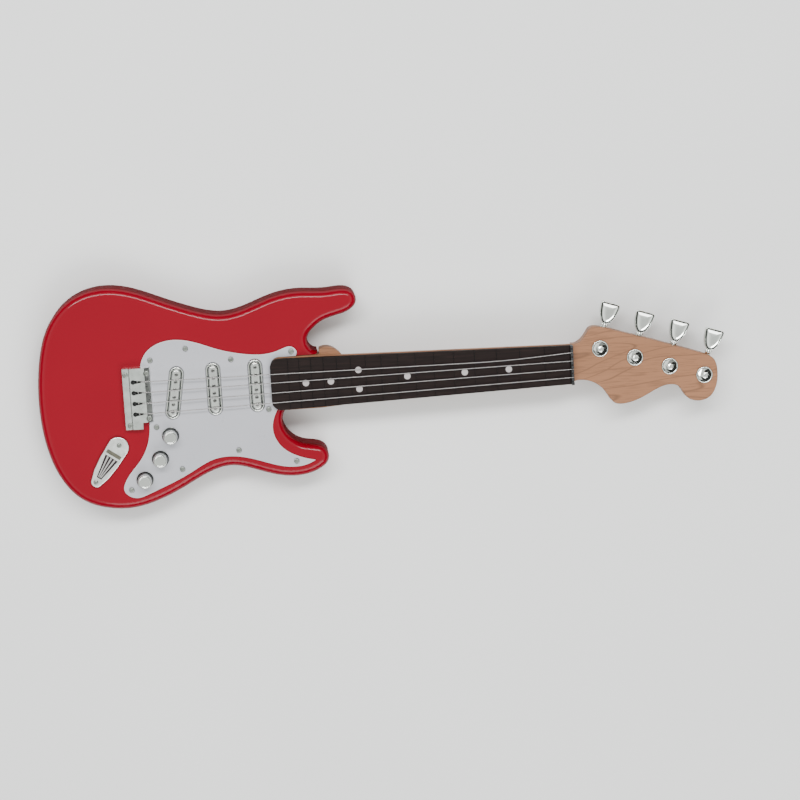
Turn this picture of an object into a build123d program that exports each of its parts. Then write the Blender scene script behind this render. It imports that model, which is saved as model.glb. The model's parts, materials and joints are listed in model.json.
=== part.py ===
"""Battery-powered toy electric guitar: hollow two-shell body, bolted-on hollow neck, four strings.

Drawn about the nut: X runs up the neck to the headstock, Y points to the tuner side, and Z points
up from the flat back, which lies on the floor.  save() moves each piece so that the origin ends up
under the middle of the whole guitar.
"""

from build123d import *
from math import cos, radians, sin
import os

# ---- driving dimensions, millimetres
SHIFT_X = 173.4          # nut to the middle of the guitar's length
SHIFT_Y = 5.2            # neck centre line to the middle of its width

BODY_T = 36.0            # body thickness
SEAM_Z = 20.0            # parting line of the two body shells
WALL = 2.2               # shell wall
FRONT_R = 7.0            # rounding of the body's front edge
BACK_R = 3.0             # rounding of its back edge
GUARD_T = 1.8            # pickguard sheet
GUARD_Z = BODY_T + GUARD_T

SCALE = 436.0            # nut to bridge saddle
BOARD_X = -279.5         # body end of the fretboard
BOARD_Z = 38.2           # underside of the fretboard
BOARD_TOP = 43.0         # string side of the fretboard
NUT_HALF = 18.2          # half width of the fretboard at the nut
HEEL_HALF = 24.2         # and at its body end
FRETS = 16
CORNER_R = 8.5           # rounded corners at the body end of fretboard and heel

HEAD_BACK = 23.0         # headstock back face
HEAD_SEAM = 30.0         # its parting line, through the tuner shafts
HEAD_FRONT = 36.5        # headstock front face
POST_PITCH = 34.1        # tuner spacing
POST_SLOPE = -17.8       # direction of the tuner row, degrees from X
FIRST_POST = (28.5, 12.6)
KEY_ANGLE = 71.0         # direction of the tuner shafts, degrees from X
KEY_SIDE = 1.2           # tuner shaft axis beside the middle of its post
KEY_REACH = (20.3, 19.9, 19.5, 18.6)   # post to the edge where each shaft comes out

STRING_R = 0.45
STRING_Y_BRIDGE = (11.4, 1.3, -8.7, -18.6)
STRING_Y_NUT = (11.9, 4.0, -3.8, -11.5)
BRIDGE_TOP = 43.2

PICKUPS = {"bridge": (-368.5, -1.7, -9.5), "middle": (-332.0, -0.5, 0.0), "neck": (-293.2, 0.1, 0.0)}
KNOBS = ((-375.1, -41.5), (-386.0, -62.6), (-401.6, -81.2))
KNOB_H = 12.0
KNOB_R = 8.1             # knob skirt
KNOB_GAP = 0.5           # knob skirt above the pickguard
SHAFT_R = 3.0            # potentiometer shaft
RUN = 0.05               # radial running clearance

SCREW_R = 1.3            # self-tapping screw thread
PILOT_R = 1.1            # hole it cuts its thread in
PASS_R = 1.6             # hole it passes through

BATTERY_R = 7.1          # AA cell
BATTERY_L = 50.0

# ---- outlines
# Horn tips: centre, radius, and the angles at which the tip arc starts and ends.
UPPER_TIP = (-205.4, 73.6, 9.6, -50, 70)
LOWER_TIP = (-240.6, -71.9, 10.9, -60, 42)
UPPER_CUTAWAY = [(-234.4, 27.6), (-242.2, 33.6), (-243, 41), (-238.4, 47.8), (-229, 55), (-214, 59.8)]
BODY_EDGE = [
    (-222, 83.2), (-248, 84.2), (-273, 80.9), (-301, 71), (-320, 67.5), (-344, 72), (-380, 85.8),
    (-410, 96.4), (-436, 97.6), (-461, 88), (-481, 65), (-491, 32), (-494, -6), (-490, -45),
    (-479, -76), (-460, -98), (-437, -107), (-414.5, -108.4), (-391, -103), (-364, -91),
    (-340, -79), (-321, -74.8), (-297, -80.8), (-269, -88.4), (-250, -87.6),
]
LOWER_CUTAWAY = [(-252.5, -58.2), (-264.5, -50.4), (-270.4, -39), (-266.6, -24.3)]
GUARD_LINE = [
    (-255, 25), (-254.4, 30.3), (-257.6, 33.5), (-270, 31.4), (-299.6, 29.5), (-328.4, 36.7), (-352.4, 45.4),
    (-368, 47.3), (-383, 44), (-392.8, 36.7), (-398.2, 24.5), (-396, 0), (-393.6, -30), (-395.8, -45.3),
    (-404, -62.3), (-419.4, -81.9), (-421.4, -90), (-412.3, -97.8), (-399, -95.2), (-359, -77.6),
    (-336, -66.4), (-316.2, -65.2), (-294.7, -70.6), (-270.5, -78), (-256, -78.4), (-242.7, -73.8),
]
GUARD_HORN = [
    (-242.7, -73.8), (-258.2, -69.2), (-273.4, -59), (-280.4, -42.3), (-277, -27.5), (-273, -21),
]
HEAD_LINE = [
    (2, -17.2), (9.4, -15.9), (20.6, -18.7), (32.5, -29), (41, -40), (50, -41), (72.4, -33.4), (94, -25.9),
    (100.8, -27.6), (108.6, -38.6), (118, -43), (130.5, -40.2), (137, -30.4), (138.8, -15.6), (136, -4.8),
    (124, 2.2), (97, 11.4), (72, 19.8), (46, 28), (28, 33.2), (20.6, 32.8), (15.2, 26.4), (9.4, 20.3),
    (2, 18.6),
]
JACK_CENTRE = (-432.8, -61.3)
JACK_ANGLE = 54.4
GUARD_SCREWS = [
    (-388.8, 30), (-355.8, 38.7), (-314.8, 25.9), (-259, 29.7), (-282.9, -23), (-387.4, -32.6),
    (-414.5, -90), (-366.4, -73.6), (-313, -59.4), (-260.2, -73.4),
]
BRIDGE_SCREWS = [(-412.4, 18.4), (-392.8, 18.8), (-411, -28.8), (-393, -23.2)]
SHELL_SCREWS = [(-455, 60), (-458, -74), (-345, 57), (-330, -61), (-226, 71), (-252, -72)]
NECK_SCREWS = [(-270, 14), (-270, -14), (-252, 12)]
DOT_CELLS = ((3, 0.0), (5, 0.0), (8, 0.0), (11, 8.9), (11, -8.9), (13, 0.0), (15, 0.0))


# ---- small helpers
def save(name, part):
    """Move a piece into the guitar's own frame and write it as one STEP file."""
    export_step(Pos(SHIFT_X, SHIFT_Y, 0) * part, f"parts/{name}.step")


def group(pieces):
    """Separate solids kept together in one node."""
    return Compound(children=[solid for piece in pieces for solid in piece.solids()])


def disc(x, y, z0, z1, r, top_r=None):
    """Upright cylinder, or a cone where top_r is given."""
    if top_r is None:
        return Pos(x, y, (z0 + z1) / 2) * Cylinder(r, z1 - z0)
    return Pos(x, y, (z0 + z1) / 2) * Cone(r, top_r, z1 - z0)


def slab(x0, x1, y0, y1, z0, z1):
    return Pos((x0 + x1) / 2, (y0 + y1) / 2, (z0 + z1) / 2) * Box(x1 - x0, y1 - y0, z1 - z0)


def smooth_face(line, *more):
    """Face inside one or more splines, closed by a straight edge where they don't meet."""
    edges = [Spline(*line)] + [Spline(*part) for part in more]
    end = edges[-1] @ 1
    start = edges[0] @ 0
    if (end - start).length > 0.01:
        edges.append(Line(end, start))
    return make_face(edges)


def tip_points(x, y, r, start, end):
    """Points round a horn tip."""
    turns = [radians(start + (end - start) * i / 4) for i in range(5)]
    return [(x + r * cos(turn), y + r * sin(turn)) for turn in turns]


def inset_line(line, amount):
    """Points of a smooth line moved inwards, to its left; a point is added in the middle of each span."""
    path = Spline(*line)
    knots = [path.param_at_point(point) for point in line]
    middles = [(a + b) / 2 for a, b in zip(knots, knots[1:])]
    moved = []
    for at in sorted(knots + middles):
        spot = path @ at
        way = path % at
        moved.append((spot.X - way.Y * amount, spot.Y + way.X * amount))
    return moved


def body_face(amount=0):
    """Plan of the body, closed by a straight edge across the neck, or its inset."""
    line = UPPER_CUTAWAY + tip_points(*UPPER_TIP) + BODY_EDGE + tip_points(*LOWER_TIP) + LOWER_CUTAWAY
    return smooth_face(inset_line(line, amount) if amount else line)


def curved_rim(solid, top=True):
    """Edges round the solid's top or bottom face, without the straight one across the neck."""
    face = solid.faces().sort_by(Axis.Z)[-1 if top else 0]
    return [edge for edge in face.edges() if edge.geom_type != GeomType.LINE]


def prism(face, z0, z1):
    return Pos(0, 0, z0) * extrude(face, z1 - z0, dir=(0, 0, 1))


def inset(face, amount):
    return offset(face, -amount, kind=Kind.INTERSECTION)


def neck_half(x):
    """Half width of the fretboard at x, which tapers evenly from heel to nut."""
    return NUT_HALF + (HEEL_HALF - NUT_HALF) * x / BOARD_X


def fret_x(n):
    return -SCALE * (1 - 2 ** (-n / 12))


def along_row(n):
    """Centre of tuner n on the headstock."""
    slope = radians(POST_SLOPE)
    return (FIRST_POST[0] + n * POST_PITCH * cos(slope), FIRST_POST[1] + n * POST_PITCH * sin(slope))


def on_key_axis(n, part):
    """Place a piece drawn along +Z from the post centre on the axis of tuner shaft n."""
    x, y = along_row(n)
    return Pos(x, y, HEAD_SEAM) * Rot(0, 0, KEY_ANGLE) * Pos(0, KEY_SIDE, 0) * Rot(0, 90, 0) * part


def pan_screw(x, y, face_z, length, up=1, head_r=2.5, head_h=1.6):
    """Pan-head screw whose head stands on face_z and whose thread goes the other way."""
    head = disc(x, y, face_z, face_z + head_h, head_r) if up > 0 else disc(x, y, face_z - head_h, face_z, head_r)
    rim = head.faces().sort_by(Axis.Z)[-1 if up > 0 else 0].edges()
    head = fillet(rim, head_h * 0.55)
    low, high = sorted((face_z, face_z - up * length))
    drive_z = face_z + up * head_h
    cross = Pos(x, y, drive_z) * (Box(head_r * 1.1, 0.7, 1.2) + Box(0.7, head_r * 1.1, 1.2))
    return head + disc(x, y, low, high, SCREW_R) - cross


def holes(points, z0, z1, r):
    return Part() + [disc(x, y, z0, z1, r) for x, y in points]


# ---- body shells
POCKET = (-279.0, 25.2, 14.0)      # neck pocket: inner end, half width, floor
BAY = (-477.0, -427.0, 32.8, 17.5)  # battery bay: ends, half width, ceiling
SPEAKER = (-372.0, 8.0, 25.0)       # loudspeaker centre and radius
SWITCH = (-395.0, 62.0)             # power switch centre
SWITCH_TRAVEL = 4.0


def round_end(x, half, z0, z1):
    """Upright block from x towards the headstock, its two corners at x rounded like the fretboard's."""
    block = slab(x, -200, -half, half, z0, z1)
    return fillet(block.edges().filter_by(Axis.Z).sort_by(Axis.X)[:2], CORNER_R)


def neck_slot():
    end, half, floor = POCKET
    return round_end(end, half, floor, BODY_T + 5)


def make_front_shell():
    outer = prism(body_face(), SEAM_Z, BODY_T)
    outer = fillet(curved_rim(outer), FRONT_R)
    low_room = prism(body_face(WALL), SEAM_Z, BODY_T - FRONT_R)
    high_room = prism(body_face(FRONT_R - WALL), BODY_T - FRONT_R, BODY_T - WALL)
    shell = outer - low_room - high_room
    end, half, floor = POCKET
    walls = slab(end - WALL, -236, -half - WALL, half + WALL, SEAM_Z, BODY_T)
    shell += walls & outer
    bosses = holes(SHELL_SCREWS, 9.2, BODY_T - WALL, 4.0)
    shell += bosses - holes(SHELL_SCREWS, 9, 24, PILOT_R)
    board_posts = Part() + [disc(x, y, 23.7, BODY_T - WALL, 2.6) for x, y in BOARD_SCREWS]
    shell += board_posts - holes(BOARD_SCREWS, 23, 31, PILOT_R)
    shell -= neck_slot()
    front_screws = GUARD_SCREWS + BRIDGE_SCREWS + jack_screw_places()
    shell -= holes(front_screws, BODY_T - WALL - 1, BODY_T + 1, PILOT_R)
    shell -= holes(KNOBS, BODY_T - WALL - 1, BODY_T + 1, 3.6)
    return shell


def make_back_shell():
    groove = 0.6
    base = prism(body_face(), 0, SEAM_Z - groove)
    outer = fillet(curved_rim(base, top=False), BACK_R) + prism(body_face(0.4), SEAM_Z - groove, SEAM_Z)
    shell = outer - prism(body_face(WALL), WALL, SEAM_Z)

    end, half, floor = POCKET
    block = slab(end - WALL, -236, -half - WALL, half + WALL, 0, SEAM_Z) & outer
    room = slab(end, end + 10, -half, half, WALL, floor - WALL)
    shell += block - room
    shell += Part() + [disc(x, y, 0, floor, 4.6) for x, y in NECK_SCREWS]
    shell -= holes(NECK_SCREWS, -1, 4, 3.4)
    shell -= holes(NECK_SCREWS, 3, floor + 1, PASS_R)
    shell -= neck_slot()

    shell += Part() + [disc(x, y, 0, 9, 5.6) for x, y in SHELL_SCREWS]
    shell -= holes(SHELL_SCREWS, -1, 6, 3.4)
    shell -= holes(SHELL_SCREWS, 5, 10, PASS_R)

    x0, x1, half_y, top = BAY
    shell += slab(x0 - 4.4, x1 + 4.4, -half_y - 4.4, half_y + 4.4, 0, 4.2)
    shell += slab(x0 - WALL, x1 + WALL, -half_y - WALL, half_y + WALL, 0, top + WALL)
    shell += disc(DOOR_SCREW[0], DOOR_SCREW[1], 0, 12, 4.2)
    shell -= slab(x0, x1, -half_y, half_y, -1, top)
    shell -= door_plate(0.25, -1, DOOR_T + 0.1)
    shell -= holes([DOOR_SCREW], 1, 10, PILOT_R)

    sx, sy, sr = SPEAKER
    for ring, count in ((6.0, 6), (12.0, 12), (18.0, 18)):
        turns = [radians(360 / count * i) for i in range(count)]
        shell -= holes([(sx + ring * cos(t), sy + ring * sin(t)) for t in turns], -1, WALL + 1, 1.5)
    shell += disc(sx, sy, WALL, WALL + 3, sr + 3.2) - disc(sx, sy, WALL - 1, WALL + 4, sr + 0.6)

    px, py = SWITCH
    shell += slab(px - 9.2, px + 9.2, py - 6.2, py + 6.2, 0, 4.4)
    shell -= slab(px - 7, px + 7, py - 4, py + 4, -1, 2.2)
    shell -= slab(px - 4.3, px + 4.3, py - 1.8, py + 1.8, 2, 5)
    return shell


# ---- battery bay
DOOR_T = 1.8
DOOR_SCREW = (-417.5, 0.0)
CELLS = (-467.6, -452.0, -436.4)


def door_plate(gap, z0, z1):
    """Battery door outline with its screw tab, grown by gap all round."""
    x0, x1, half_y, top = BAY
    grow = 2.2 + gap
    plate = slab(x0 - grow, x1 + grow, -half_y - grow, half_y + grow, z0, z1)
    return plate + slab(x1, -413 + gap, -6 - gap, 6 + gap, z0, z1)


def make_battery_door():
    door = door_plate(0, 0, DOOR_T)
    door = fillet(door.edges().filter_by(Axis.Z), 0.8)
    sunk = disc(*DOOR_SCREW, -1, 1.0, 2.9)
    grips = Part() + [slab(x, x + 1.2, -12, 12, -0.1, 0.5) for x in (-446, -442.6, -439.2, -435.8)]
    return door - sunk - holes([DOOR_SCREW], -1, 3, PASS_R) - grips


def make_cell(x, turned):
    """AA cell lying across the body, its button end towards +Y, or -Y when turned."""
    can = Cylinder(BATTERY_R, BATTERY_L - 1.3)
    can = fillet(can.edges(), 0.8)
    button = Pos(0, 0, BATTERY_L / 2) * Cylinder(2.7, 1.3)
    end = Pos(0, 0, -0.6) * (can + button)
    return Pos(x, 0, DOOR_T + 0.4 + BATTERY_R) * Rot(90 if turned else -90, 0, 0) * end


def make_contacts():
    """Plates on the bay's end walls, each with a bent leaf that presses on its cell."""
    x0, x1, half_y, top = BAY
    z = DOOR_T + 0.4 + BATTERY_R
    pieces = []
    for x in CELLS:
        for side in (-1, 1):
            wall = side * half_y
            plate = Pos(x, wall - side * 0.25, z) * Box(11, 0.5, 11)
            reach = half_y - BATTERY_L / 2 - 0.3
            leaf = Polyline((wall, z - 5), (wall - side * reach, z), (wall, z + 5))
            leaf_face = make_face(leaf.edges() + [Line(leaf @ 1, leaf @ 0)])
            inner = Polyline((wall, z - 4.2), (wall - side * (reach - 0.6), z), (wall, z + 4.2))
            inner_face = make_face(inner.edges() + [Line(inner @ 1, inner @ 0)])
            spring = extrude(Plane.YZ * leaf_face, 2, both=True) - extrude(Plane.YZ * inner_face, 2, both=True)
            pieces.append(plate + Pos(x, 0, 0) * spring)
    return group(pieces)


# ---- electronics
BOARD_BOX = (-350.0, -308.0, 2.0, 46.0, 22.0, 23.6)
BOARD_SCREWS = [(-346.0, 6.0), (-312.0, 42.0)]


def make_circuit_board():
    x0, x1, y0, y1, z0, z1 = BOARD_BOX
    board = slab(*BOARD_BOX) - holes(BOARD_SCREWS, z0 - 1, z1 + 1, PASS_R)
    chip = slab(-336, -324, 20, 32, z0 - 1.6, z0)
    driver = slab(-320, -314, 8, 16, z0 - 1.4, z0)
    cans = disc(-342, 38, z0 - 9, z0, 3.1) + disc(-334, 39, z0 - 9, z0, 3.1)
    plug = slab(-330, -318, 6, 10, z0 - 5, z0)
    return board + chip + driver + cans + plug


def make_speaker():
    """Frame, cone and magnet of the loudspeaker, which faces out through the back."""
    x, y, r = SPEAKER
    z = WALL + 0.2
    basket = disc(x, y, z, z + 1.2, r) + disc(x, y, z + 1.2, z + 9, r - 2, 13)
    basket -= disc(x, y, z - 1, z + 1.2, r - 3) + disc(x, y, z + 1.2, z + 8, r - 3.2, 12)
    basket -= disc(x, y, z + 7, z + 10, 8)
    cone = disc(x, y, z + 0.4, z + 7.4, r - 3.4, 7.5) - disc(x, y, z - 0.4, z + 6.6, r - 3.4, 7.5)
    cone += disc(x, y, z + 5.6, z + 6.6, 8.2)
    magnet = fillet(disc(x, y, z + 9, z + 15, 12).edges(), 0.6)
    return basket, cone, magnet


def make_switch():
    """Slide switch body and the thumb slider that runs in its slot, shown switched off."""
    px, py = SWITCH
    case = slab(px - 8, px + 8, py - 4, py + 4, 4.4, 9)
    case -= slab(px - 6, px + 6, py - 2.5, py + 2.5, 4, 8.2)
    travel = SWITCH_TRAVEL / 2
    stem = slab(px - travel - 2, px - travel + 2, py - 1.5, py + 1.5, 0.9, 7.6)
    foot = slab(px - travel - 3, px - travel + 3, py - 2.2, py + 2.2, 4.8, 7.6)
    thumb = slab(px - travel - 2.6, px - travel + 2.6, py - 3, py + 3, 0.5, 2.0)
    ribs = Part() + [slab(px - travel + d, px - travel + d + 0.7, py - 4, py + 4, 0, 0.9)
                     for d in (-1.8, -0.35, 1.1)]
    return case, stem + foot + thumb - ribs


# ---- pickguard and what stands on it
def make_pickguard():
    guard = prism(smooth_face(GUARD_LINE, GUARD_HORN), BODY_T, GUARD_Z)
    guard = chamfer(guard.faces().sort_by(Axis.Z)[-1].edges(), 0.5)
    guard -= neck_slot()
    guard -= holes(GUARD_SCREWS + BRIDGE_SCREWS, BODY_T - 1, GUARD_Z + 1, PASS_R)
    return guard - holes(KNOBS, BODY_T - 1, GUARD_Z + 1, 3.6)


def capsule(length, width, z0, z1):
    return prism(SlotOverall(length, width, rotation=90), z0, z1)


def make_pickup(x, y, turn):
    """Bezel ring, domed cover and six pole screws of one pickup."""
    place = Pos(x, y, 0) * Rot(0, 0, turn)
    ring = capsule(50, 14, GUARD_Z, GUARD_Z + 1.6)
    ring = fillet(ring.faces().sort_by(Axis.Z)[-1].edges(), 0.7)
    ring -= capsule(46.6, 10.6, GUARD_Z - 1, GUARD_Z + 3)
    cover = capsule(46.4, 10.4, GUARD_Z, GUARD_Z + 3.6)
    cover = fillet(cover.faces().sort_by(Axis.Z)[-1].edges(), 1.4)
    spots = [(0, (i - 2.5) * 7.0) for i in range(6)]
    cover -= holes(spots, GUARD_Z + 2, GUARD_Z + 5, 1.7)
    poles = []
    for px, py in spots:
        pole = disc(px, py, GUARD_Z + 2, GUARD_Z + 4.2, 1.7)
        pole = fillet(pole.faces().sort_by(Axis.Z)[-1].edges(), 0.5)
        poles.append(place * (pole - slab(px - 2, px + 2, py - 0.35, py + 0.35, GUARD_Z + 3.6, GUARD_Z + 5)))
    return place * ring, place * cover, poles


def make_knob(x, y):
    """Bell-shaped knob: skirt, waisted side and flat top, hollow below for the nut."""
    z = GUARD_Z + KNOB_GAP
    top = z + KNOB_H
    skirt = [Line((0, z), (KNOB_R, z)), Line((KNOB_R, z), (KNOB_R, z + 1.4))]
    side = Spline((KNOB_R, z + 1.4), (7.0, z + 3.2), (6.1, top - 0.8))
    cap = Line((6.1, top - 0.8), (5.7, top))
    profile = make_face(skirt + [side, cap, Line((5.7, top), (0, top)), Line((0, top), (0, z))])
    knob = revolve(Plane.XZ * profile, Axis.Z)
    knob -= disc(0, 0, z - 1, z + 3.6, 5.9, 5.2)
    knob -= disc(0, 0, z, top - 2, SHAFT_R)
    return Pos(x, y, 0) * knob


def make_pot(x, y):
    """Potentiometer case and bushing, its nut, and the shaft that turns inside them."""
    under = BODY_T - WALL
    case = disc(x, y, under - 11, under, 8.2) - disc(x, y, under - 10, under - 1, 7.2)
    case += disc(x, y, under - 1, GUARD_Z + 2.6, 3.5)
    case -= disc(x, y, under - 5, 50, SHAFT_R + RUN)
    nut = Pos(x, y, GUARD_Z) * extrude(RegularPolygon(5.0, 6), 2.0)
    nut -= disc(x, y, GUARD_Z - 1, GUARD_Z + 3, 3.5)
    low = under - 8
    shaft = disc(x, y, low, GUARD_Z + KNOB_GAP + KNOB_H - 2, SHAFT_R) + disc(x, y, low, low + 3, 6.5)
    return case, nut, shaft


# ---- bridge and strings
def make_bridge():
    """Hollow bridge cover: raised lip at the tail side, flat top, sloping front, string keyholes."""
    z = BODY_T
    top = BRIDGE_TOP
    outer = Polyline((-415.4, z), (-415.4, top - 1.2), (-409.4, top - 1.2), (-408.4, top), (-394.9, top),
                     (-390.0, GUARD_Z + 1.3), (-389.2, GUARD_Z + 0.1), (-389.2, z), close=True)
    inner = Polyline((-413.6, z - 1), (-413.6, top - 2.8), (-409.1, top - 2.8), (-407.9, top - 1.7),
                     (-395.8, top - 1.7), (-391.6, GUARD_Z + 0.2), (-391.0, z - 1), close=True)
    cover = Pos(0, 23.9, 0) * extrude(Plane.XZ * make_face(outer), 56.7)
    cover = fillet(cover.edges().filter_by(Axis.Y).sort_by(Axis.Z)[-4:], 0.5)
    cover -= slab(-399.2, -380, -40, -26.8, 30, 60)
    room = Pos(0, 22.1, 0) * extrude(Plane.XZ * make_face(inner), 47.1)
    cover -= room
    cover -= slab(-399.2, -380, -30, 30, z - 1, GUARD_Z + 0.1)
    for x, y in BRIDGE_SCREWS:
        cover -= disc(x, y, bridge_screw_seat(x), top + 2, 2.8)
    for y in STRING_Y_BRIDGE:
        bulb = disc(-405.6, y, z + 2, top + 2, 2.15)
        throat = Polyline((-405.6, y + 1.7), (-397.9, y + 0.75), (-397.9, y - 0.75), (-405.6, y - 1.7),
                          close=True)
        cover -= bulb + prism(make_face(throat), z + 3, top + 2)
    return cover - holes(BRIDGE_SCREWS, 30, 60, PASS_R)


def bridge_screw_seat(x):
    """Height of the bridge cover under a screw head at x."""
    return BRIDGE_TOP - 1.2 if x < -410 else BRIDGE_TOP - 2.6


def make_anchor():
    """Bar under the bridge that holds the strings' ball ends."""
    bar = slab(-408.5, -399.2, -22, 16.5, BODY_T, 38.6)
    for y in STRING_Y_BRIDGE:
        bar -= slab(-404, -399, y - 2.2, y + 2.2, 37.4, 39)
    return bar


def make_string(n):
    """String with its ball end, up through the keyhole, over the fretboard and into the nut."""
    y = STRING_Y_BRIDGE[n]
    points = [(-401.6, y, 39.6), (-398.0, y, 43.9), (1.6, STRING_Y_NUT[n], 45.0)]
    radii = [1.5]
    if n == 0:
        points.insert(2, (-62, 8.2, 44.85))
        radii.append(800)
    path = FilletPolyline(*points, radius=radii)
    wire = sweep(Plane(path @ 0, z_dir=path % 0) * Circle(STRING_R), path=path)
    return wire + Pos(-401.6, y, 39.2) * Sphere(1.5)


def make_nut():
    """Comb-shaped nut with nine slots; every second slot takes a string."""
    nut = slab(-0.4, 2.0, -18.5, 18.5, BOARD_Z, 46.4)
    for i in range(9):
        y = 0.2 + (i - 4) * 3.85
        nut -= slab(-1, 3, y - 0.75, y + 0.75, 44.5, 47)
    return nut


# ---- neck and headstock
HEEL_X = -233.0          # the deep heel ends here
GRIP_X = -212.0          # and the slimmer grip starts here
BULGE_TOP = 33.0         # top of the heel's bulge beside the fretboard


def neck_section(x, half, side_z, bottom_z, top_z):
    """Cross-section of the neck: flat top, short upright sides and a bowed back."""
    plane = Plane(origin=(x, 0, 0), x_dir=(0, 1, 0), z_dir=(1, 0, 0))
    edges = [
        Line((half, top_z), (-half, top_z)),
        Line((-half, top_z), (-half, side_z)),
        ThreePointArc((-half, side_z), (0, bottom_z), (half, side_z)),
        Line((half, side_z), (half, top_z)),
    ]
    return plane * make_face(edges)


def neck_loft(grow, top_z):
    """Heel, its flare and bulge on the tuner side, and the tapering grip; grow is negative for the room inside."""
    heel = (24.8 + grow, 16.0 - grow, 14.2 - grow, top_z)
    inner_end = POCKET[0] + 0.3 - grow
    block = extrude(neck_section(inner_end, *heel), HEEL_X - inner_end)
    block &= round_end(inner_end, heel[0], 0, 50)
    flare_end = (neck_half(GRIP_X) + 0.7 + grow, 34.0, 20.5 - grow, top_z)
    flare = loft([neck_section(HEEL_X, *heel), neck_section(GRIP_X, *flare_end)])
    nut_end = (neck_half(0) + 0.5 + grow, 34.0, HEAD_BACK + 0.5 - grow, top_z)
    grip = loft([neck_section(GRIP_X, *flare_end), neck_section(2 + grow, *nut_end)])
    bulge = loft([
        neck_section(HEEL_X - grow, 29.6 + grow, 18.0 - grow, 16.2 - grow, BULGE_TOP + grow),
        neck_section(-226.5, 31.2 + grow, 20.0 - grow, 17.5 - grow, BULGE_TOP + grow),
        neck_section(GRIP_X, 22.6 + grow, 30.0, 21.0 - grow, BULGE_TOP + grow),
    ])
    tuner_side = slab(-240, -150, 0, 40, 0, 50)
    return block + flare + grip + (bulge & tuner_side)


def make_neck_shell():
    """Neck back and headstock back in one moulding, open at the front."""
    neck = neck_loft(0, BOARD_Z)
    head = prism(head_face(), HEAD_BACK, HEAD_SEAM)
    head = fillet(head.faces().sort_by(Axis.Z)[0].edges(), 2.0)
    shell = neck + head - neck_loft(-WALL, BOARD_Z + 1)
    shell -= head_room(HEAD_BACK + WALL, HEAD_SEAM + 1)
    shell += holes(NECK_SCREWS, 14.2, 34, 4) - holes(NECK_SCREWS, 14, 28, PILOT_R)
    shell += holes(HEAD_SCREWS, HEAD_BACK, HEAD_SEAM, 3.6)
    shell -= holes(HEAD_SCREWS, HEAD_BACK - 1, HEAD_BACK + 2.4, 2.7)
    shell -= holes(HEAD_SCREWS, HEAD_BACK, HEAD_SEAM + 1, PASS_R)
    for n, reach in enumerate(KEY_REACH):
        shell -= on_key_axis(n, disc(0, 0, reach - 3.6, 26, BUSH_R))
    return shell


HEAD_SCREWS = [(44.0, -28.0), (76.0, -16.0), (118.0, -32.0)]
BUSH_R = 3.6
KEY_R = 2.5


def head_face():
    return smooth_face(HEAD_LINE)


def head_room(z0, z1):
    """Space inside the headstock."""
    room = prism(smooth_face(inset_line(HEAD_LINE, WALL)), z0, z1)
    return room & slab(2 + WALL, 200, -60, 60, z0, z1)


def make_headstock_front():
    front = prism(head_face(), HEAD_SEAM, HEAD_FRONT)
    front = fillet(front.faces().sort_by(Axis.Z)[-1].edges().sort_by(SortBy.LENGTH)[-1], 1.2)
    front -= head_room(HEAD_SEAM - 1, HEAD_FRONT - WALL)
    front += holes(HEAD_SCREWS, HEAD_SEAM, HEAD_FRONT - 1, 3.6) - holes(HEAD_SCREWS, 29, 35, PILOT_R)
    for n, reach in enumerate(KEY_REACH):
        front -= on_key_axis(n, disc(0, 0, reach - 3.6, 26, BUSH_R))
        front -= disc(*along_row(n), HEAD_SEAM, HEAD_FRONT + 1, 3.0)
    return front


def make_post(n):
    """Domed tuner post cap with four facets, and its stem through the headstock front."""
    x, y = along_row(n)
    cap = disc(x, y, HEAD_FRONT, HEAD_FRONT + 1.4, 7.8)
    dome = Pos(x, y, HEAD_FRONT + 1.4) * (Sphere(7.2) & Pos(0, 0, 3) * Box(20, 20, 6))
    dome &= disc(x, y, HEAD_FRONT, HEAD_FRONT + 5.6, 8)
    cap = fillet(cap.faces().sort_by(Axis.Z)[-1].edges(), 0.5) + dome
    for turn in (35, 125):
        cap -= Pos(x, y, HEAD_FRONT + 5.9) * Rot(0, 0, turn) * Rot(0, 90, 0) * Cylinder(1.3, 20)
    return cap + disc(x, y, HEAD_SEAM + 2.6, HEAD_FRONT, 3.0)


def make_bushing(n):
    """Sleeve that ends flush with the headstock's edge, with its flange inside the wall."""
    reach = KEY_REACH[n]
    sleeve = disc(0, 0, reach - 4.8, reach, BUSH_R) + disc(0, 0, reach - 4.8, reach - 3.8, 4.2)
    return on_key_axis(n, sleeve - disc(0, 0, reach - 6, reach + 1, KEY_R + RUN))


def shield_face(rim):
    """Shield-shaped grip of a tuner key, narrowed by the width of its rim."""
    line = [
        (23.0 + rim, 1.6),
        (26.2 + rim, 4.8 - rim),
        (31, 7.2 - rim),
        (37, 8.6 - rim),
        (43.6 - rim, 9.2 - rim),
    ]
    left = Spline(*[(w, d) for d, w in line])
    right = Spline(*[(-w, d) for d, w in line])
    return make_face([left, right, Line(left @ 1, right @ 1), Line(left @ 0, right @ 0)])


def make_key(n):
    """Tuner key: collared shaft, two lobes at its neck and a dished shield-shaped grip with a raised rim."""
    inside = KEY_REACH[n] - 7.5
    shaft = disc(0, 0, inside, 24, KEY_R) + disc(0, 0, inside, inside + 2.6, 3.4)
    grip = extrude(shield_face(0), 2.9, both=True)
    grip = fillet(grip.edges().filter_by(Axis.Z).sort_by(Axis.Y)[-2:], 1.4)
    grip = fillet(grip.faces().sort_by(Axis.Z)[-1].edges(), 0.7)
    grip = fillet(grip.faces().sort_by(Axis.Z)[0].edges(), 0.7)
    dish = extrude(shield_face(1.9), 3)
    grip -= Pos(0, 0, 1.6) * dish + Pos(0, 0, -4.6) * dish
    lobes = Pos(2.1, 22.2, 0) * Sphere(1.5) + Pos(-2.1, 22.2, 0) * Sphere(1.5)
    head = Rot(0, 0, 90) * Rot(90, 0, 0) * (grip + lobes)
    return on_key_axis(n, shaft + head)


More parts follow.
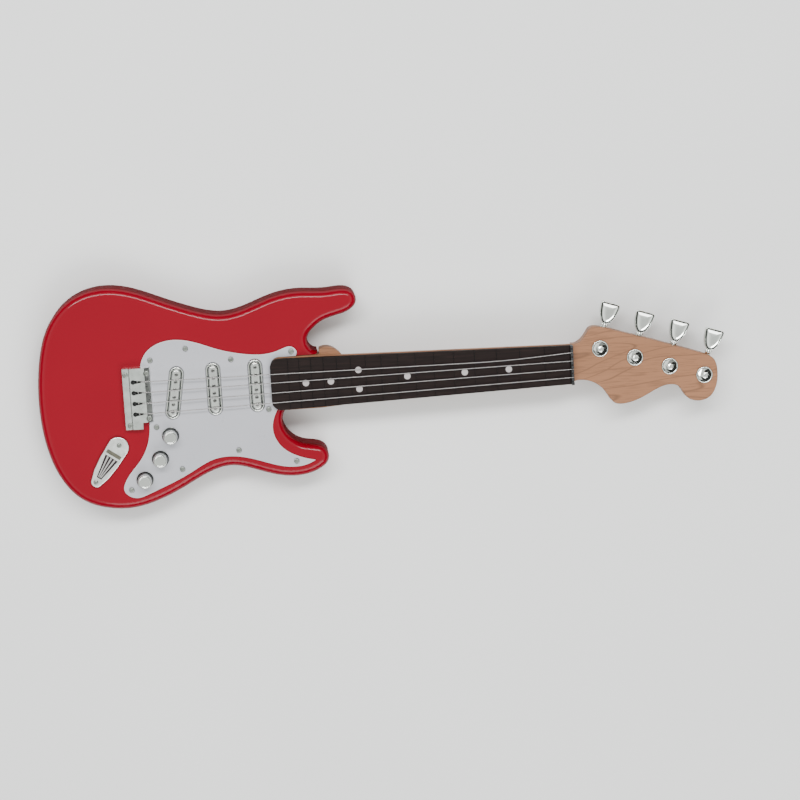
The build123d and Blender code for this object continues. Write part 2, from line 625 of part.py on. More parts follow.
def make_fretboard():
    end = BOARD_X
    heel = neck_half(end)
    near = neck_half(-0.4)
    plan = Polyline((end, heel), (-0.4, near), (-0.4, -near), (end, -heel), close=True)
    board = prism(make_face(plan), BOARD_Z, BOARD_TOP)
    corners = board.edges().filter_by(Axis.Z).sort_by(Axis.X)[:2]
    board = fillet(corners, CORNER_R)
    board = fillet(board.faces().sort_by(Axis.Z)[-1].edges(), 0.6)
    room = prism(inset(make_face(plan), 2.5), BOARD_Z - 1, BOARD_TOP - 2)
    board -= room - slab(end, end + 9, -30, 30, 30, 50)
    for n in range(1, FRETS + 1):
        x = fret_x(n)
        board -= slab(x - 0.4, x + 0.4, -30, 30, BOARD_TOP - 0.4, BOARD_TOP + 1)
    return board - holes([dot_place(*dot) for dot in DOT_CELLS], BOARD_TOP - 1, BOARD_TOP + 1, 3.0)


def dot_place(cell, y):
    return ((fret_x(cell) + fret_x(cell - 1)) / 2, y)


def make_dots():
    dots = []
    for dot in DOT_CELLS:
        x, y = dot_place(*dot)
        inlay = disc(x, y, BOARD_TOP - 0.98, BOARD_TOP + 0.15, 2.98)
        dots.append(inlay - disc(x, y, BOARD_TOP - 0.4, BOARD_TOP + 1, 0.8))
    return group(dots)


# ---- jack plate
def in_jack(part):
    """Place a piece drawn with X from tip to head of the jack plate."""
    return Pos(*JACK_CENTRE, 0) * Rot(0, 0, JACK_ANGLE) * part


def make_jack_plate():
    rounds = [(Pos(u, 0) * Circle(r)).edge() for u, r in ((14.9, 9.9), (0, 9.6), (-13, 8.1), (-23.1, 5.2))]
    plate = prism(make_hull(rounds), BODY_T, BODY_T + 2.6)
    plate = fillet(plate.faces().sort_by(Axis.Z)[-1].edges(), 0.9)
    plate -= prism(make_face(Polyline((3.6, 6.6), (3.6, -6.6), (-19, -2.4), (-19, 2.4), close=True)),
                   BODY_T - 1, BODY_T + 4)
    plate -= slab(5.5, 9.1, -7.4, 7.4, BODY_T + 1.4, BODY_T + 4)
    return in_jack(plate - holes(JACK_SCREWS, BODY_T - 1, BODY_T + 4, PASS_R))


JACK_SCREWS = [(17.3, 0.3), (-23.6, 0.4)]


def make_jack_insert():
    """Ribbed tray in the plate's tapering window."""
    tray = prism(make_face(Polyline((3.5, 6.5), (3.5, -6.5), (-18.9, -2.3), (-18.9, 2.3), close=True)),
                 BODY_T, BODY_T + 0.8)
    for start, finish in ((3.6, 1.2), (0, 0), (-3.6, -1.2)):
        rib = Polyline((3, start + 0.8), (3, start - 0.8), (-18, finish - 0.4), (-18, finish + 0.4),
                       close=True)
        tray += prism(make_face(rib), BODY_T + 0.8, BODY_T + 1.8)
    return in_jack(tray)


def jack_screw_places():
    turn = radians(JACK_ANGLE)
    x, y = JACK_CENTRE
    return [(x + u * cos(turn) - v * sin(turn), y + u * sin(turn) + v * cos(turn)) for u, v in JACK_SCREWS]


# ---- build
def main():
    os.makedirs("parts", exist_ok=True)
    save("front_shell", make_front_shell())
    save("back_shell", make_back_shell())
    save("shell_screws", group([pan_screw(x, y, 6, 12, up=-1) for x, y in SHELL_SCREWS]))

    save("battery_door", make_battery_door())
    save("battery_door_screw", pan_screw(*DOOR_SCREW, 1.0, 7, up=-1, head_r=2.5, head_h=0.9))
    save("battery_cells", group([make_cell(x, i == 1) for i, x in enumerate(CELLS)]))
    save("battery_contacts", make_contacts())

    save("circuit_board", make_circuit_board())
    save("circuit_board_screws", group([pan_screw(x, y, 22, 7, up=-1, head_r=2.2) for x, y in BOARD_SCREWS]))
    basket, cone, magnet = make_speaker()
    save("speaker_frame", basket)
    save("speaker_cone", cone)
    save("speaker_magnet", magnet)
    case, slider = make_switch()
    save("power_switch_case", case)
    save("power_switch_slider", slider)

    save("pickguard", make_pickguard())
    save("pickguard_screws", group([pan_screw(x, y, GUARD_Z, 8) for x, y in GUARD_SCREWS]))
    poles = []
    for name, place in PICKUPS.items():
        ring, cover, screws = make_pickup(*place)
        save(f"{name}_pickup_ring", ring)
        save(f"{name}_pickup_cover", cover)
        poles += screws
    save("pickup_pole_screws", group(poles))

    cases, nuts = [], []
    for number, (x, y) in enumerate(KNOBS, 1):
        case, nut, shaft = make_pot(x, y)
        cases.append(case)
        nuts.append(nut)
        save(f"knob_{number}", make_knob(x, y))
        save(f"knob_shaft_{number}", shaft)
    save("potentiometers", group(cases))
    save("potentiometer_nuts", group(nuts))

    save("bridge_cover", make_bridge())
    save("bridge_screws", group([pan_screw(x, y, bridge_screw_seat(x), 10) for x, y in BRIDGE_SCREWS]))
    save("string_anchor", make_anchor())
    save("string_sensor", disc(-404, -3, BODY_T - WALL - 1.2, BODY_T - WALL, 10))
    for n in range(4):
        save(f"string_{n + 1}", make_string(n))
    save("nut", make_nut())

    save("jack_plate", make_jack_plate())
    save("jack_insert", make_jack_insert())
    places = jack_screw_places()
    save("jack_plate_screws", group([pan_screw(x, y, BODY_T + 2.6, 8, head_r=2.2) for x, y in places]))

    save("neck_shell", make_neck_shell())
    save("neck_screws", group([pan_screw(x, y, 4, 20, up=-1) for x, y in NECK_SCREWS]))
    save("fretboard", make_fretboard())
    save("fret_dots", make_dots())
    save("headstock_front", make_headstock_front())
    save("headstock_screws", group([pan_screw(x, y, HEAD_BACK + 2.4, 9, up=-1) for x, y in HEAD_SCREWS]))
    save("post_caps", group([make_post(n) for n in range(4)]))
    save("tuner_bushings", group([make_bushing(n) for n in range(4)]))
    for n in range(4):
        save(f"tuner_key_{n + 1}", make_key(n))


main()
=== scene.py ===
"""Looks for the toy electric guitar: materials, finely modelled trim, light, floor and camera."""

import json
from math import cos, pi, radians, sin

import bmesh
import bpy
from mathutils import Matrix, Vector


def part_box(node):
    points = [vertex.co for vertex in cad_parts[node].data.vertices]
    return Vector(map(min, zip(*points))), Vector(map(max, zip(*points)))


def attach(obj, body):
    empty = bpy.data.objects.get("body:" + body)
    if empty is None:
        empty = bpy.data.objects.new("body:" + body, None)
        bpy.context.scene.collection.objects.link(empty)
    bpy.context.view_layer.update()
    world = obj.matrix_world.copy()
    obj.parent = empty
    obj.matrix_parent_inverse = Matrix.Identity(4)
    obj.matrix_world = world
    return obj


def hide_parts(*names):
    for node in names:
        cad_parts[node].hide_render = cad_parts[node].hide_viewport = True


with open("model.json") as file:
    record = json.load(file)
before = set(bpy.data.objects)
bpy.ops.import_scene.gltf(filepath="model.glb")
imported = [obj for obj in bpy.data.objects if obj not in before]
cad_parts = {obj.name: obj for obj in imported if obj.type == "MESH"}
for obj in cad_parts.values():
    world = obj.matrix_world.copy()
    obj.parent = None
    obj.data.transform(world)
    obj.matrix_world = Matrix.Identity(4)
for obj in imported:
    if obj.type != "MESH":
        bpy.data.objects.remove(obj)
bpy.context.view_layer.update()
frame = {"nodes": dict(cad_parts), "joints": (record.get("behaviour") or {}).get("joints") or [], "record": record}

MM = 0.001               # profiles below are drawn in millimetres


# ---- camera and light
CAMERA_AT = (-0.1206, 0.3409, 2.1412)
CAMERA_TURN = (radians(-9.43), radians(-4.17), radians(-3.28))
CAMERA_LENS = 103.5      # millimetres, on a 36 mm sensor

# (sine of the height above the horizon, brightness) round the whole sky
SKY = [
    (0.00, 0.25),
    (0.06, 0.04),
    (0.50, 0.03),
    (0.60, 0.60),
    (0.75, 1.60),
    (0.88, 1.15),
    (0.97, 0.78),
]
SKY_TINT = (0.97, 1.0, 0.97)
SKY_STRENGTH = 1.25
FLOOR_HALF = 6.0
FLOOR_GAP = 0.0005       # floor below the guitar's back


def add_camera():
    data = bpy.data.cameras.new("camera")
    data.lens = CAMERA_LENS
    data.sensor_width = 36
    data.clip_end = 20
    camera = bpy.data.objects.new("camera", data)
    camera.location = CAMERA_AT
    camera.rotation_euler = CAMERA_TURN
    bpy.context.collection.objects.link(camera)
    bpy.context.scene.camera = camera


def add_area(name, at, aim, width, height, power):
    """Rectangular softbox at one point, aimed at another."""
    data = bpy.data.lights.new(name, "AREA")
    data.shape = "RECTANGLE"
    data.size = width
    data.size_y = height
    data.energy = power
    light = bpy.data.objects.new(name, data)
    light.location = at
    light.rotation_euler = (Vector(aim) - Vector(at)).to_track_quat("-Z", "Y").to_euler()
    bpy.context.collection.objects.link(light)


def add_world():
    """Studio tent: pale ceiling, a bright band above a dark band near the horizon."""
    world = bpy.data.worlds.new("studio")
    world.use_nodes = True
    bpy.context.scene.world = world
    tree = world.node_tree
    spot = tree.nodes.new("ShaderNodeTexCoord")
    split = tree.nodes.new("ShaderNodeSeparateXYZ")
    ramp = tree.nodes.new("ShaderNodeValToRGB")
    tree.links.new(spot.outputs["Generated"], split.inputs[0])
    tree.links.new(split.outputs["Z"], ramp.inputs[0])
    tree.links.new(ramp.outputs[0], tree.nodes["Background"].inputs["Color"])
    while len(ramp.color_ramp.elements) < len(SKY):
        ramp.color_ramp.elements.new(0.5)
    for element, (height, level) in zip(ramp.color_ramp.elements, SKY):
        element.position = height
        element.color = (*(level * tint for tint in SKY_TINT), 1)
    tree.nodes["Background"].inputs["Strength"].default_value = SKY_STRENGTH


def add_floor():
    mesh = bpy.data.meshes.new("floor")
    corners = [(-1, -1), (1, -1), (1, 1), (-1, 1)]
    mesh.from_pydata([(x * FLOOR_HALF, y * FLOOR_HALF, 0) for x, y in corners], [], [(0, 1, 2, 3)])
    floor = bpy.data.objects.new("floor", mesh)
    floor.location.z = -FLOOR_GAP
    bpy.context.collection.objects.link(floor)
    mesh.materials.append(plain_floor())


# ---- materials
RED_FACE = (0.205, 0.0009, 0.0095)
# darker red for the steep sides: painted shade
RED_SIDE_SHADE = (0.10, 0.0008, 0.0030)
WOOD = (0.275, 0.124, 0.060)
BOARD = (0.0095, 0.0052, 0.0047)
CHROME = (0.78, 0.80, 0.765)
GRAIN_SCALE = 900


class Nodes:
    """Shorthand for wiring one material's nodes."""

    def __init__(self, name):
        self.material = bpy.data.materials.new(name)
        self.material.use_nodes = True
        self.tree = self.material.node_tree
        self.shader = self.tree.nodes["Principled BSDF"]
        self.place = self.add("ShaderNodeTexCoord").outputs["Object"]

    def add(self, kind, **settings):
        node = self.tree.nodes.new(kind)
        for key, value in settings.items():
            setattr(node, key, value)
        return node

    def link(self, source, target):
        self.tree.links.new(source, target)

    def drive(self, **sources):
        """Link sockets to the shader's inputs, with _ for a space in an input's name."""
        for key, source in sources.items():
            self.link(source, self.shader.inputs[key.replace("_", " ")])

    def set(self, **values):
        """Set plain values of the shader's inputs, with _ for a space in an input's name."""
        for key, value in values.items():
            self.shader.inputs[key.replace("_", " ")].default_value = value

    def stretched(self, scale, turn=(0, 0, 0)):
        """Object coordinates scaled along each axis."""
        node = self.add("ShaderNodeMapping")
        node.inputs["Scale"].default_value = scale
        node.inputs["Rotation"].default_value = turn
        self.link(self.place, node.inputs["Vector"])
        return node.outputs["Vector"]

    def noise(self, scale, detail=3.0, rough=0.5, vector=None, distortion=0.0):
        node = self.add("ShaderNodeTexNoise")
        node.inputs["Scale"].default_value = scale
        node.inputs["Detail"].default_value = detail
        node.inputs["Roughness"].default_value = rough
        node.inputs["Distortion"].default_value = distortion
        self.link(vector or self.place, node.inputs["Vector"])
        return node.outputs["Fac"]

    def ramp(self, value, stops):
        """Colour ramp; stops are (position, colour)."""
        node = self.add("ShaderNodeValToRGB")
        ramp = node.color_ramp
        while len(ramp.elements) < len(stops):
            ramp.elements.new(0.5)
        for element, (position, colour) in zip(ramp.elements, stops):
            element.position = position
            element.color = (*colour, 1)
        self.link(value, node.inputs[0])
        return node.outputs[0]

    def blended(self, share, under, colour):
        """The given share of a colour over another colour's socket."""
        node = self.add("ShaderNodeMix", data_type="RGBA")
        self.link(share, node.inputs["Factor"])
        self.link(under, node.inputs["A"])
        node.inputs["B"].default_value = (*colour, 1)
        return node.outputs["Result"]

    def spread(self, value, low, high, start=0.0, end=1.0):
        """Map value from start..end to low..high."""
        node = self.add("ShaderNodeMapRange")
        for key, number in (("From Min", start), ("From Max", end), ("To Min", low), ("To Max", high)):
            node.inputs[key].default_value = number
        self.link(value, node.inputs["Value"])
        return node.outputs[0]

    def bump(self, height, strength, distance, below=None):
        node = self.add("ShaderNodeBump")
        node.inputs["Strength"].default_value = strength
        node.inputs["Distance"].default_value = distance
        self.link(height, node.inputs["Height"])
        if below:
            self.link(below, node.inputs["Normal"])
        return node.outputs[0]


def plain_floor():
    made = Nodes("pale_floor")
    tone = made.ramp(made.noise(3, 2), [(0.3, (0.83, 0.83, 0.83)), (0.7, (0.86, 0.86, 0.86))])
    made.drive(Base_Color=tone)
    made.set(Roughness=0.9, Specular_IOR_Level=0.1)
    return made.material


def shaded(colour, factor):
    return tuple(min(1.0, c * factor) for c in colour)


def uneven(made, rough, low=0.7, high=1.5, scale=160):
    """Patchy roughness round a middle value."""
    return made.spread(made.noise(scale, 4), rough * low, rough * high, 0.3, 0.7)


def clouded(made, colour, scale, dark, light):
    """Soft cloudy tone between two shades of a colour."""
    return made.ramp(made.noise(scale, 3), [(0.3, shaded(colour, dark)), (0.7, shaded(colour, light))])


def moulded(name, colour, rough, variation=0.06, grain=0.0):
    """Moulded plastic: faint cloudy tone, uneven gloss, and an optional fine grain."""
    made = Nodes(name)
    made.drive(Base_Color=clouded(made, colour, 14, 1 - variation, 1 + variation))
    made.drive(Roughness=uneven(made, rough, 0.8, 1.25, 60))
    ripple = made.bump(made.noise(35, 2), 0.05, 0.0004)
    if grain:
        ripple = made.bump(made.noise(GRAIN_SCALE, 2), grain, 0.0002, ripple)
    made.drive(Normal=ripple)
    return made.material


def flatness(made):
    """1 on level faces, whether they look up or down, and 0 on upright walls."""
    normal = made.add("ShaderNodeSeparateXYZ")
    made.link(made.add("ShaderNodeNewGeometry").outputs["Normal"], normal.inputs[0])
    size = made.add("ShaderNodeMath", operation="ABSOLUTE")
    made.link(normal.outputs["Z"], size.inputs[0])
    return size.outputs[0]


def bevelled_white():
    """Satin white sheet, cooler on its face, with a painted highlight brightening its bevelled edge."""
    made = Nodes("white_plastic")
    face = made.ramp(made.noise(14, 3), [(0.3, (0.405, 0.405, 0.44)), (0.7, (0.43, 0.43, 0.465))])
    # painted highlight on the sloped and upright faces
    edge_highlight = made.spread(flatness(made), 1.0, 0.0, 0.55, 0.97)
    made.drive(Base_Color=made.blended(edge_highlight, face, (0.85, 0.85, 0.84)))
    made.drive(Roughness=made.spread(made.noise(60, 4), 0.27, 0.38, 0.3, 0.7))
    made.drive(Normal=made.bump(made.noise(35, 2), 0.05, 0.0004))
    return made.material


def polished_red():
    """Glossy red shell with painted shade darkening its steep sides, and a faint orange-peel ripple."""
    made = Nodes("red_plastic")
    level = flatness(made)
    face = clouded(made, RED_FACE, 9, 1.0, 1.08)
    # painted shade: the red darkens where the surface turns upright
    side_shade = made.spread(level, 1.0, 0.0, 0.05, 0.75)
    made.drive(Base_Color=made.blended(side_shade, face, RED_SIDE_SHADE))
    made.drive(Coat_Weight=made.spread(level, 0.0, 0.45, 0.15, 0.5))
    ripple = made.bump(made.noise(28, 2), 0.06, 0.0005)
    made.drive(Normal=made.bump(made.noise(420, 2), 0.03, 0.0002, ripple))
    made.set(Roughness=0.4, IOR=1.03, Coat_Roughness=0.1)
    return made.material


def plating_tone(made, dark, light):
    return made.ramp(made.noise(45, 3), [(0.35, dark), (0.65, light)])


def plated(name, colour, rough):
    """Vacuum-plated chrome on plastic, or plain metal: a slightly uneven mirror."""
    made = Nodes(name)
    made.drive(Base_Color=plating_tone(made, shaded(colour, 0.92), colour))
    made.drive(Roughness=uneven(made, rough))
    made.drive(Normal=made.bump(made.noise(110, 2), 0.06, 0.0006))
    made.set(Metallic=1.0)
    return made.material


def bevelled_silver():
    """Satin silver plating, with a painted highlight brightening its sloped and upright faces."""
    made = Nodes("silver_plastic")
    face = plating_tone(made, (0.52, 0.55, 0.52), (0.58, 0.61, 0.58))
    # painted highlight on the sloped and upright faces
    edge_highlight = made.spread(flatness(made), 1.0, 0.0, 0.6, 0.98)
    made.drive(Base_Color=made.blended(edge_highlight, face, (0.92, 0.93, 0.91)))
    made.drive(Roughness=made.spread(made.noise(160, 4), 0.24, 0.36, 0.3, 0.7))
    made.drive(Normal=made.bump(made.noise(110, 2), 0.06, 0.0006))
    made.set(Metallic=1.0)
    return made.material


def stepped(name, node, recess_shade_colour, top_colour, floor_height, top_height, rough):
    """Plated part that darkens from one height above its own base, in metres, down to another, as painted shade in
    its recess.
    """
    made = Nodes(name)
    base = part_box(node)[0][2]
    height = made.add("ShaderNodeSeparateXYZ")
    made.link(made.place, height.inputs[0])
    # painted shade darkening the recess below the given height
    recess_shade = made.spread(height.outputs["Z"], 1.0, 0.0, base + floor_height, base + top_height)
    top = plating_tone(made, shaded(top_colour, 0.92), top_colour)
    made.drive(Base_Color=made.blended(recess_shade, top, recess_shade_colour))
    made.drive(Roughness=uneven(made, rough))
    made.set(Metallic=1.0)
    return made.material


def wound_wire():
    """Steel string: fine winding round the core, with painted shade between the turns."""
    made = Nodes("string_steel")
    turns = made.add("ShaderNodeTexWave", bands_direction="X", wave_profile="SIN")
    turns.inputs["Scale"].default_value = 700
    made.link(made.place, turns.inputs["Vector"])
    # dark end of the ramp: painted shade in the gaps between turns
    shaded_gaps_to_turns = [(0.1, (0.14, 0.135, 0.135)), (0.7, (0.46, 0.44, 0.435))]
    made.drive(Base_Color=made.ramp(turns.outputs["Fac"], shaded_gaps_to_turns))
    made.drive(Roughness=made.spread(made.noise(200, 3), 0.3, 0.45))
    made.drive(Normal=made.bump(turns.outputs["Fac"], 0.4, 0.0001))
    made.set(Metallic=1.0)
    return made.material


def wood_look():
    """Wood-look print on plastic: beige ground, fine grain along the neck and arched growth lines."""
    made = Nodes("wood_plastic")
    lean = (0, 0, radians(2))
    flow = made.noise(1.5, 4, 0.5, made.stretched((3.0, 26.0, 12.0), lean), 0.5)
    ground = made.ramp(flow, [(0.3, shaded(WOOD, 0.90)), (0.5, WOOD), (0.72, shaded(WOOD, 1.10))])
    rings = made.noise(1.0, 2, 0.4, made.stretched((3.6, 18.0, 8.0), lean), 0.15)
    bands = made.add("ShaderNodeMath", operation="PINGPONG")
    made.link(made.spread(rings, 0.0, 17.0), bands.inputs[0])
    bands.inputs[1].default_value = 0.5  # folds the rings' value, with a line where it is back at 0
    arches = made.spread(bands.outputs[0], 0.75, 0.0, 0.0, 0.08)
    streaks = made.noise(8.0, 3, 0.6, made.stretched((6.0, 110.0, 60.0), lean))
    pores = made.spread(streaks, 0.0, 0.9, 0.50, 0.68)
    lined = made.blended(arches, ground, shaded(WOOD, 0.40))
    made.drive(Base_Color=made.blended(pores, lined, shaded(WOOD, 0.66)))
    made.drive(Roughness=made.spread(flow, 0.36, 0.5, 0.3, 0.7))
    made.drive(Normal=made.bump(pores, 0.12, 0.0002))
    made.set(Specular_IOR_Level=0.35)
    return made.material


def dark_board():
    """Fretboard: dark brown with fine streaks along the neck, and painted shade darkening it just below its top
    face, in its fret grooves.
    """
    made = Nodes("fretboard_plastic")
    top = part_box("fretboard")[1][2]
    streaks = made.noise(7.0, 4, 0.6, made.stretched((5.0, 95.0, 20.0)), 0.3)
    brown = made.ramp(streaks, [(0.3, shaded(BOARD, 0.65)), (0.5, BOARD), (0.72, shaded(BOARD, 1.7))])
    height = made.add("ShaderNodeSeparateXYZ")
    made.link(made.place, height.inputs[0])
    # painted shade in the fret grooves
    groove_shade = made.spread(height.outputs["Z"], 0.9, 0.0, top - 0.4 * MM, top - 0.1 * MM)
    made.drive(Base_Color=made.blended(groove_shade, brown, shaded(BOARD, 0.1)))
    made.drive(Roughness=made.spread(streaks, 0.42, 0.58, 0.3, 0.7))
    made.drive(Normal=made.bump(streaks, 0.25, 0.0003))
    made.set(Specular_IOR_Level=0.12)
    return made.material


def make_materials():
    return {
        "red_plastic": polished_red(),
        "white_plastic": bevelled_white(),
        "chrome_plastic": plated("chrome_plastic", CHROME, 0.07),
        # dark chrome painted as shade on the pieces' shaded rows: grooves, rim walls and knob skirts
        "shaded_chrome": plated("shaded_chrome", (0.16, 0.165, 0.16), 0.12),
        "silver_plastic": bevelled_silver(),
        "black_plastic": moulded("black_plastic", (0.012, 0.012, 0.013), 0.45, variation=0.1, grain=0.2),
        "wood_plastic": wood_look(),
        "fretboard_plastic": dark_board(),
        "dot_plastic": moulded("dot_plastic", (0.42, 0.385, 0.385), 0.35, variation=0.03),
        "screw_steel": plated("screw_steel", (0.27, 0.285, 0.26), 0.3),
        "string_steel": wound_wire(),
        "contact_steel": plated("contact_steel", (0.65, 0.65, 0.65), 0.3),
        "switch_steel": plated("switch_steel", (0.55, 0.55, 0.55), 0.35),
        "speaker_steel": moulded("speaker_steel", (0.03, 0.03, 0.03), 0.4),
        "speaker_paper": moulded("speaker_paper", (0.02, 0.02, 0.02), 0.8, variation=0.1, grain=0.4),
        "magnet_ferrite": moulded("magnet_ferrite", (0.06, 0.06, 0.065), 0.6, variation=0.1, grain=0.3),
        "shaft_plastic": moulded("shaft_plastic", (0.7, 0.7, 0.68), 0.4),
        "sensor_brass": plated("sensor_brass", (0.6, 0.43, 0.16), 0.3),
        "board_green": moulded("board_green", (0.02, 0.13, 0.05), 0.4, variation=0.15),
        "cell_wrap": moulded("cell_wrap", (0.05, 0.055, 0.07), 0.3, variation=0.1),
    }


def dress_nodes(materials):
    """Give every CAD node the material of its slot, or its own finish of that material."""
    # first colour of each pair: painted shade at the bottom of the recess
    tray = ((0.07, 0.055, 0.06), (0.78, 0.76, 0.75))
    plate = ((0.20, 0.19, 0.15), (0.86, 0.88, 0.85))
    own = {
        "jack_insert": stepped("jack_tray", "jack_insert", *tray, 0.9 * MM, 1.7 * MM, rough=0.16),
        "jack_plate": stepped("jack_face", "jack_plate", *plate, 1.5 * MM, 2.0 * MM, rough=0.25),
        "pickup_pole_screws": plated("dark_steel", (0.30, 0.30, 0.29), 0.22),
    }
    for part in frame["record"]["subparts"]:
        mesh = frame["nodes"][part["node"]].data
        mesh.materials.clear()
        mesh.materials.append(own.get(part["node"], materials[part["material_slot"]]))


# ---- pieces
def skin(shell, rings, place=Matrix(), smooth=True, shaded_rows=()):
    """Join closed rings of points into a capped skin; shaded rows take the second material."""
    rows = [[shell.verts.new(place @ Vector(point)) for point in ring] for ring in rings]
    count = len(rows[0])
    made = [shell.faces.new(rows[0][::-1]), shell.faces.new(rows[-1])]
    for number, (row, above) in enumerate(zip(rows, rows[1:])):
        for i in range(count):
            j = (i + 1) % count
            face = shell.faces.new((row[i], row[j], above[j], above[i]))
            face.material_index = 1 if number in shaded_rows else 0
            made.append(face)
    for face in made:
        face.smooth = smooth


def finish_piece(name, shell, materials, body, *nodes):
    """Turn a bmesh into a chrome piece that rides a body and stands for CAD nodes."""
    mesh = bpy.data.meshes.new(name)
    bmesh.ops.recalc_face_normals(shell, faces=shell.faces)
    shell.to_mesh(mesh)
    shell.free()
    mesh.materials.append(materials["chrome_plastic"])
    mesh.materials.append(materials["shaded_chrome"])
    piece = bpy.data.objects.new(name, mesh)
    bpy.context.collection.objects.link(piece)
    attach(piece, body)
    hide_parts(*nodes)
    return piece


def around(count, start=0.0):
    """Angles evenly spaced round a circle."""
    return [start + 2 * pi * i / count for i in range(count)]


def turned(profile, count, start=0.0, twist=0.0):
    """Rings of a (radius, height) profile from the bottom up; twist turns each on from the last."""
    rings = []
    for row, (radius, height) in enumerate(profile):
        angles = around(count, start + row * twist)
        rings.append([(radius * cos(a), radius * sin(a), height) for a in angles])
    return rings


def standing(x, y, z):
    """Place of a millimetre shape whose origin stands at a point in metres."""
    return Matrix.Translation((x, y, z)) @ Matrix.Scale(MM, 4)


def base_centre(node):
    """Middle of the bottom of a CAD node's box."""
    low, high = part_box(node)
    return (low[0] + high[0]) / 2, (low[1] + high[1]) / 2, low[2]


# knob, (radius, height): flared skirt, waisted side, rolled rim and a shallow dish on top
KNOB_LINE = [
    (3.1, 0.0), (7.9, 0.0), (8.08, 0.2), (8.1, 0.9), (7.98, 1.15), (7.6, 1.45), (7.1, 1.85), (6.75, 2.3),
    (6.6, 3.0), (6.5, 5.0), (6.4, 8.5), (6.34, 10.2), (6.25, 10.9), (6.05, 11.5), (5.8, 11.85), (5.5, 12.0),
    (5.25, 11.9), (5.1, 11.65), (4.95, 11.5), (4.5, 11.45), (2.4, 11.5), (0.8, 11.52),
]
KNOB_SHADED = (5, 6, 7)  # rows where the skirt meets the side
KNOB_SIDES = 72


def add_knob(number, materials):
    node = f"knob_{number}"
    shell = bmesh.new()
    skin(shell, turned(KNOB_LINE, KNOB_SIDES), standing(*base_centre(node)), shaded_rows=KNOB_SHADED)
    finish_piece(f"{node}_cap", shell, materials, node, node)


# post cap, (radius, height): washer-like flange and a faceted button
POST_FLANGE = [
    (3.0, 0.02), (7.5, 0.02), (7.8, 0.25), (7.8, 0.9), (7.55, 1.25), (7.2, 1.38), (6.9, 1.3), (6.7, 1.1),
]
POST_BUTTON = [(6.75, 1.2), (6.55, 1.75), (4.9, 3.3), (2.9, 4.9), (1.7, 5.5), (1.1, 5.6)]
POST_HEIGHT = 5.6 * MM
POST_RADIUS = 7.8 * MM
POST_SIDES = 64
POST_FACETS = 7
POST_TURN = 0.5          # radians from one cap to the next


def add_post_caps(materials):
    """Four capped string posts in one piece, evenly spaced down the tuner row."""
    low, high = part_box("post_caps")
    base = high[2] - POST_HEIGHT
    first = Vector((low[0] + POST_RADIUS, high[1] - POST_RADIUS, base))
    last = Vector((high[0] - POST_RADIUS, low[1] + POST_RADIUS, base))
    shell = bmesh.new()
    for n in range(4):
        place = standing(*first.lerp(last, n / 3))
        start = POST_TURN * n
        skin(shell, turned(POST_FLANGE, POST_SIDES, start), place)
        skin(shell, turned(POST_BUTTON, POST_FACETS, start, pi / POST_FACETS), place, smooth=False)
    finish_piece("post_cap_set", shell, materials, "guitar", "post_caps")


# pickup, (distance from its centre line, height): bezel, groove and domed cover
PICKUP_LINE = [
    (7.0, 0.02), (7.0, 0.3), (6.55, 0.75), (6.3, 1.2), (5.95, 1.5), (5.6, 1.6), (5.3, 1.5), (5.1, 1.1),
    (4.95, 0.6), (4.35, 0.6), (4.28, 1.4), (4.2, 2.2), (4.0, 2.8), (3.7, 3.2), (3.3, 3.5), (2.9, 3.6),
]
PICKUP_SHADED = (0, 1, 7, 8, 9)  # foot of the bezel, and the groove
PICKUP_STRAIGHT = 18.0   # half the length of its centre line
END_STEPS = 24           # steps round each rounded end
PICKUP_TURNS = {"bridge": radians(-9.5), "middle": 0.0, "neck": 0.0}


def capsule_ring(reach, height):
    """Points round a slot shape that keeps the given distance from its straight centre line."""
    ring = []
    for end, start in ((PICKUP_STRAIGHT, 0.0), (-PICKUP_STRAIGHT, pi)):
        for i in range(END_STEPS + 1):
            angle = start + pi * i / END_STEPS
            ring.append((reach * cos(angle), end + reach * sin(angle), height))
    return ring


def add_pickup(name, turn, materials):
    ring_node, cover_node = f"{name}_pickup_ring", f"{name}_pickup_cover"
    place = standing(*base_centre(ring_node)) @ Matrix.Rotation(turn, 4, "Z")
    shell = bmesh.new()
    skin(shell, [capsule_ring(*point) for point in PICKUP_LINE], place, shaded_rows=PICKUP_SHADED)
    finish_piece(f"{name}_pickup_shell", shell, materials, "guitar", ring_node, cover_node)


# half outline of a key's grip, (distance beyond the joint's point, half width)
KEY_LINE = [
    (1.0, 0.8), (1.3, 1.9), (2.2, 3.4), (3.4, 4.6), (4.9, 5.6), (7.0, 6.7), (9.5, 7.6), (12.2, 8.25),
    (15.0, 8.7), (17.8, 8.98), (19.6, 9.1), (20.6, 8.95), (21.2, 8.4), (21.5, 7.5), (21.58, 6.0),
    (21.6, 3.0),
]
# outlines from the dish over the rim to the edge, (scale about the grip's middle, height)
KEY_RINGS = [
    (0.05, 0.35), (0.30, 0.42), (0.55, 0.75), (0.74, 1.3), (0.86, 1.9), (0.91, 2.4), (0.935, 2.75),
    (0.955, 2.88), (0.975, 2.75), (0.99, 2.3), (1.0, 1.2),
]
KEY_SHADED = (4, 16)     # inner walls of the rims, front and back
KEY_MIDDLE = 12.5
# shaft and its bead, (radius, distance beyond the joint's point)
KEY_SHAFT = [
    (2.45, -9.0), (2.45, -1.9), (2.9, -1.7), (3.05, -1.2), (2.9, -0.7), (2.3, -0.4), (1.9, 0.2), (1.8, 2.2),
]
LOBE_RADIUS = 1.5
LOBE_ALONG = 0.2
LOBE_ASIDE = 2.1
LOBE_STEPS = 10
SHAFT_SIDES = 32


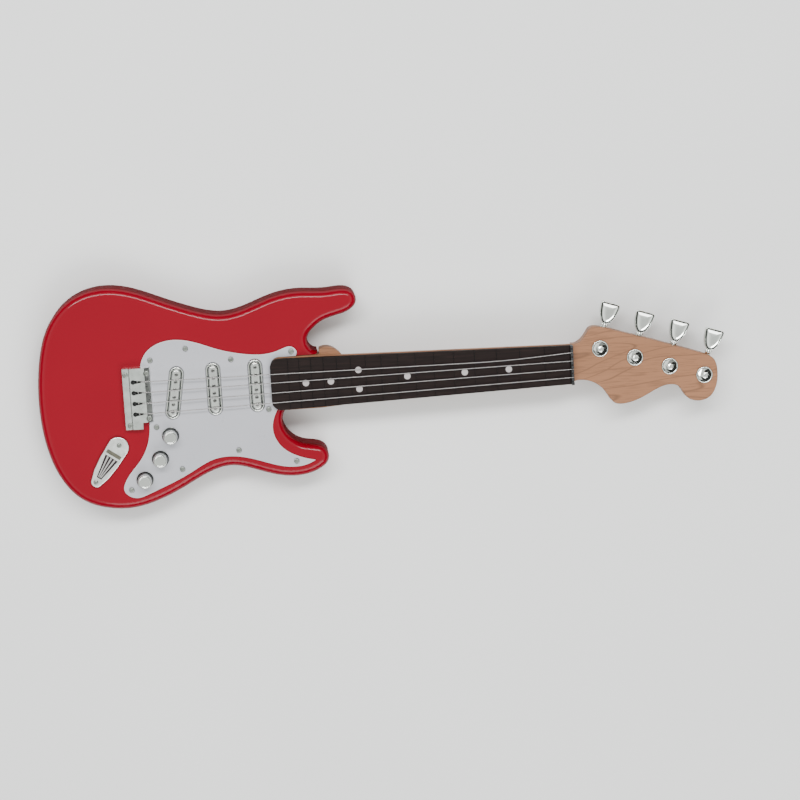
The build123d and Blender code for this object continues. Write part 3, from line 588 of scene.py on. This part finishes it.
def grip_rings():
    """Outline of the grip at each level, from the front dish round the edge to the back dish."""
    outline = KEY_LINE + [(KEY_LINE[-1][0], 0.0)] + [(d, -w) for d, w in KEY_LINE[::-1]]
    levels = KEY_RINGS + [(scale, -height) for scale, height in KEY_RINGS[::-1]]
    return [[(KEY_MIDDLE + (d - KEY_MIDDLE) * k, w * k, h) for d, w in outline] for k, h in levels]


def ring_across(along, aside, radius):
    """Circle round the shaft's direction."""
    return [(along, aside + radius * cos(a), radius * sin(a)) for a in around(SHAFT_SIDES)]


def lobe_rings(aside):
    """Ball beside the shaft, as rings from its near end to its far end."""
    rings = []
    for step in range(1, LOBE_STEPS):
        angle = pi * step / LOBE_STEPS
        rings.append(ring_across(LOBE_ALONG - LOBE_RADIUS * cos(angle), aside, LOBE_RADIUS * sin(angle)))
    return rings


def add_key(number, materials):
    """Tuner key: shaft with a bead, two small lobes and a dished, rimmed shield grip."""
    joint = next(j for j in frame["joints"] if j["name"] == f"tuner_key_{number}_turn")
    out = Vector(joint["axis"]).normalized()
    up = Vector((0, 0, 1))
    place = Matrix((out, up.cross(out), up)).transposed().to_4x4()
    place.translation = Vector(joint["pos_m"])
    place = place @ Matrix.Scale(MM, 4)
    shell = bmesh.new()
    skin(shell, grip_rings(), place, shaded_rows=KEY_SHADED)
    skin(shell, [ring_across(along, 0.0, radius) for radius, along in KEY_SHAFT], place)
    for aside in (-LOBE_ASIDE, LOBE_ASIDE):
        skin(shell, lobe_rings(aside), place)
    node = f"tuner_key_{number}"
    piece = finish_piece(f"{node}_grip", shell, materials, node, node)
    smooth = piece.modifiers.new("smooth", "SUBSURF")
    smooth.levels = smooth.render_levels = 1


# ---- the scene
materials = make_materials()
add_camera()
add_world()
add_floor()
add_area("key_light", at=(-0.2, 1.2, 2.1), aim=(-0.05, 0, 0), width=2.2, height=0.45, power=62)
add_area("fill_light", at=(0.3, -1.7, 1.9), aim=(0, 0, 0), width=2.0, height=1.2, power=36)
dress_nodes(materials)
for number in (1, 2, 3):
    add_knob(number, materials)
for number in (1, 2, 3, 4):
    add_key(number, materials)
for name, turn in PICKUP_TURNS.items():
    add_pickup(name, turn, materials)
add_post_caps(materials)
